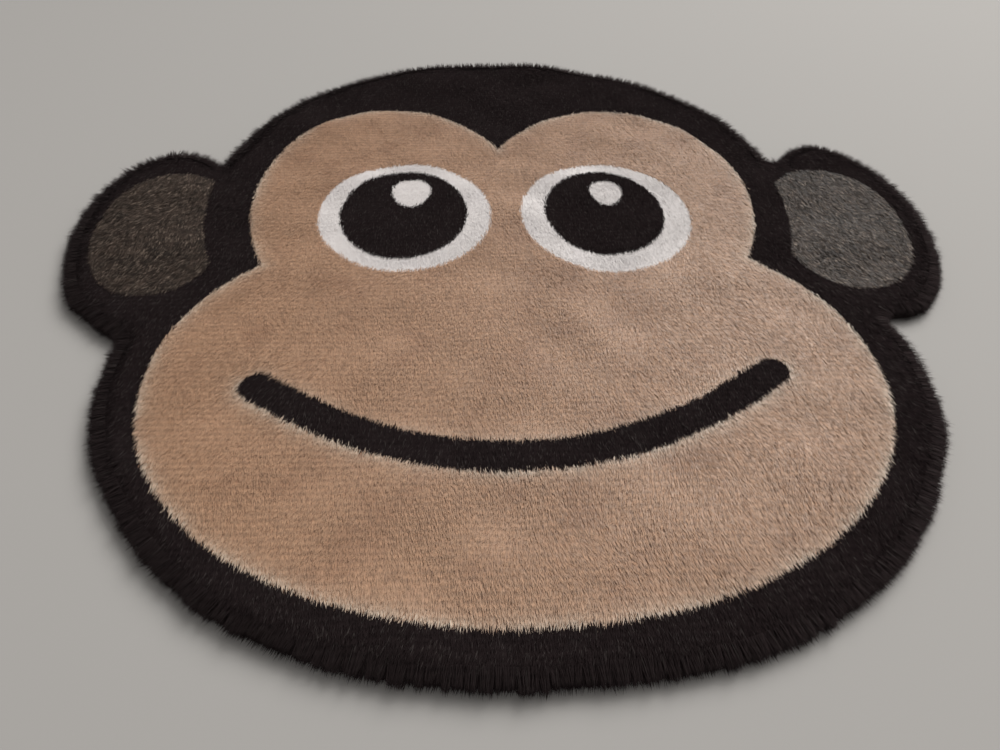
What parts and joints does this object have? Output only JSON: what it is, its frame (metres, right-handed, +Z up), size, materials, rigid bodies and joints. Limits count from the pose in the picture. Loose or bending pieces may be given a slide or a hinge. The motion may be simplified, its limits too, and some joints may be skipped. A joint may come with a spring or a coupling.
{
  "type": "animal shaped kids rug",
  "caption": "Flat cut-pile rug in the shape of an animal's head with two round ears, with a fur rim and a knitted-in face.",
  "frame": {"origin": "on the floor, under the middle of the rug's outline", "axes": "+X from the rug's left ear to its right ear as seen from above, +Y from chin to crown, +Z up out of the pile"},
  "size_m": [0.9021, 0.8299, 0.0165],
  "materials": {
    "black_pile": "matt cut pile, black",
    "tan_pile": "matt cut pile, light brown",
    "white_pile": "matt cut pile, off-white",
    "heather_pile": "matt cut pile, dark grey flecked with lighter fibres"
  },
  "bodies": {
    "root": {"pile_sheet": "black_pile"}
  },
  "joints": []
}
